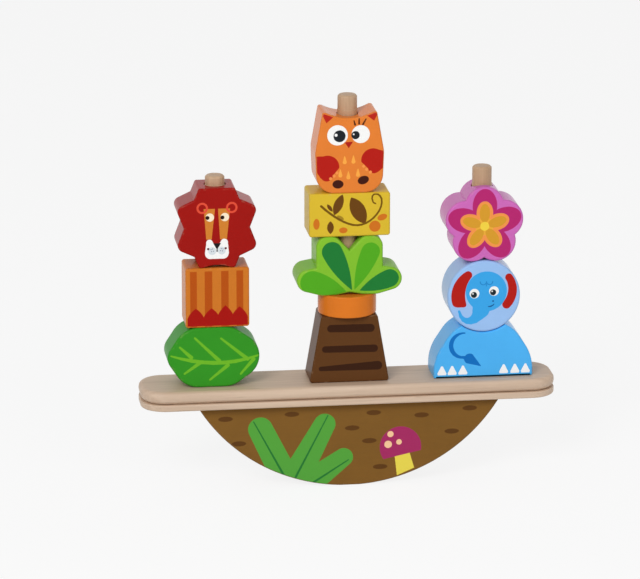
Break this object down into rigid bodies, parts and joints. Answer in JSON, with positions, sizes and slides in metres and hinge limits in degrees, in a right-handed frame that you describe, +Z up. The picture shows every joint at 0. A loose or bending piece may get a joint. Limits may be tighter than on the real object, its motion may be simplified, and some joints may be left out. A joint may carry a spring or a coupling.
{
  "type": "animal balance game",
  "caption": "Wooden balance toy: a plank with pegs on a round-bottomed rocker, carrying drilled animal and plant blocks that lift off the pegs.",
  "frame": {"origin": "middle of the short flat under the rocker, below the middle of the plank", "axes": "+X along the plank, to the right as the printed front is seen; -Y out of the printed front; +Z up along the pegs"},
  "size_m": [0.25, 0.041, 0.238],
  "materials": {
    "natural_wood": "fine sanded bare wood, satin",
    "rocker_paint": "satin brown paint with printed figures",
    "leaf_paint": "satin green paint with printed veins",
    "lion_body_paint": "satin orange paint with printed stripes",
    "lion_head_paint": "satin red paint with a printed face",
    "trunk_paint": "satin brown paint with printed bars",
    "pot_paint": "satin orange paint",
    "plant_paint": "satin lime paint with printed leaves",
    "branch_paint": "satin yellow paint with a printed sprig",
    "owl_paint": "satin orange paint with a printed face",
    "elephant_body_paint": "satin blue paint with printed nails and tail",
    "elephant_head_paint": "satin pale blue paint with a printed face",
    "flower_paint": "satin pink paint with printed petals"
  },
  "bodies": {
    "base": {"rocker": "rocker_paint", "rocker_dowels": "natural_wood", "lower_board": "natural_wood", "upper_board": "natural_wood", "left_peg": "natural_wood", "middle_peg": "natural_wood", "right_peg": "natural_wood"},
    "leaf": {"leaf_block": "leaf_paint"},
    "lion_body": {"lion_body": "lion_body_paint"},
    "lion_head": {"lion_head": "lion_head_paint"},
    "tree_trunk": {"tree_trunk": "trunk_paint"},
    "pot": {"pot_ring": "pot_paint"},
    "plant": {"plant_block": "plant_paint"},
    "branch": {"branch_block": "branch_paint"},
    "owl": {"owl_block": "owl_paint"},
    "elephant_body": {"elephant_body": "elephant_body_paint"},
    "elephant_head": {"elephant_head": "elephant_head_paint"},
    "flower": {"flower_block": "flower_paint"}
  },
  "joints": [
    {"name": "leaf_lift", "type": "slide", "parent": "base", "child": "leaf", "axis": [0, 0, 1], "range_m": [0, 0.132]},
    {"name": "lion_body_lift", "type": "slide", "parent": "leaf", "child": "lion_body", "axis": [0, 0, 1], "range_m": [0, 0.095]},
    {"name": "lion_head_lift", "type": "slide", "parent": "lion_body", "child": "lion_head", "axis": [0, 0, 1], "range_m": [0, 0.058]},
    {"name": "tree_trunk_lift", "type": "slide", "parent": "base", "child": "tree_trunk", "axis": [0, 0, 1], "range_m": [0, 0.178]},
    {"name": "pot_lift", "type": "slide", "parent": "tree_trunk", "child": "pot", "axis": [0, 0, 1], "range_m": [0, 0.137]},
    {"name": "plant_lift", "type": "slide", "parent": "pot", "child": "plant", "axis": [0, 0, 1], "range_m": [0, 0.124]},
    {"name": "branch_lift", "type": "slide", "parent": "plant", "child": "branch", "axis": [0, 0, 1], "range_m": [0, 0.088]},
    {"name": "owl_lift", "type": "slide", "parent": "branch", "child": "owl", "axis": [0, 0, 1], "range_m": [0, 0.062]},
    {"name": "elephant_body_lift", "type": "slide", "parent": "base", "child": "elephant_body", "axis": [0, 0, 1], "range_m": [0, 0.132]},
    {"name": "elephant_head_lift", "type": "slide", "parent": "elephant_body", "child": "elephant_head", "axis": [0, 0, 1], "range_m": [0, 0.104]},
    {"name": "flower_lift", "type": "slide", "parent": "elephant_head", "child": "flower", "axis": [0, 0, 1], "range_m": [0, 0.061]}
  ]
}
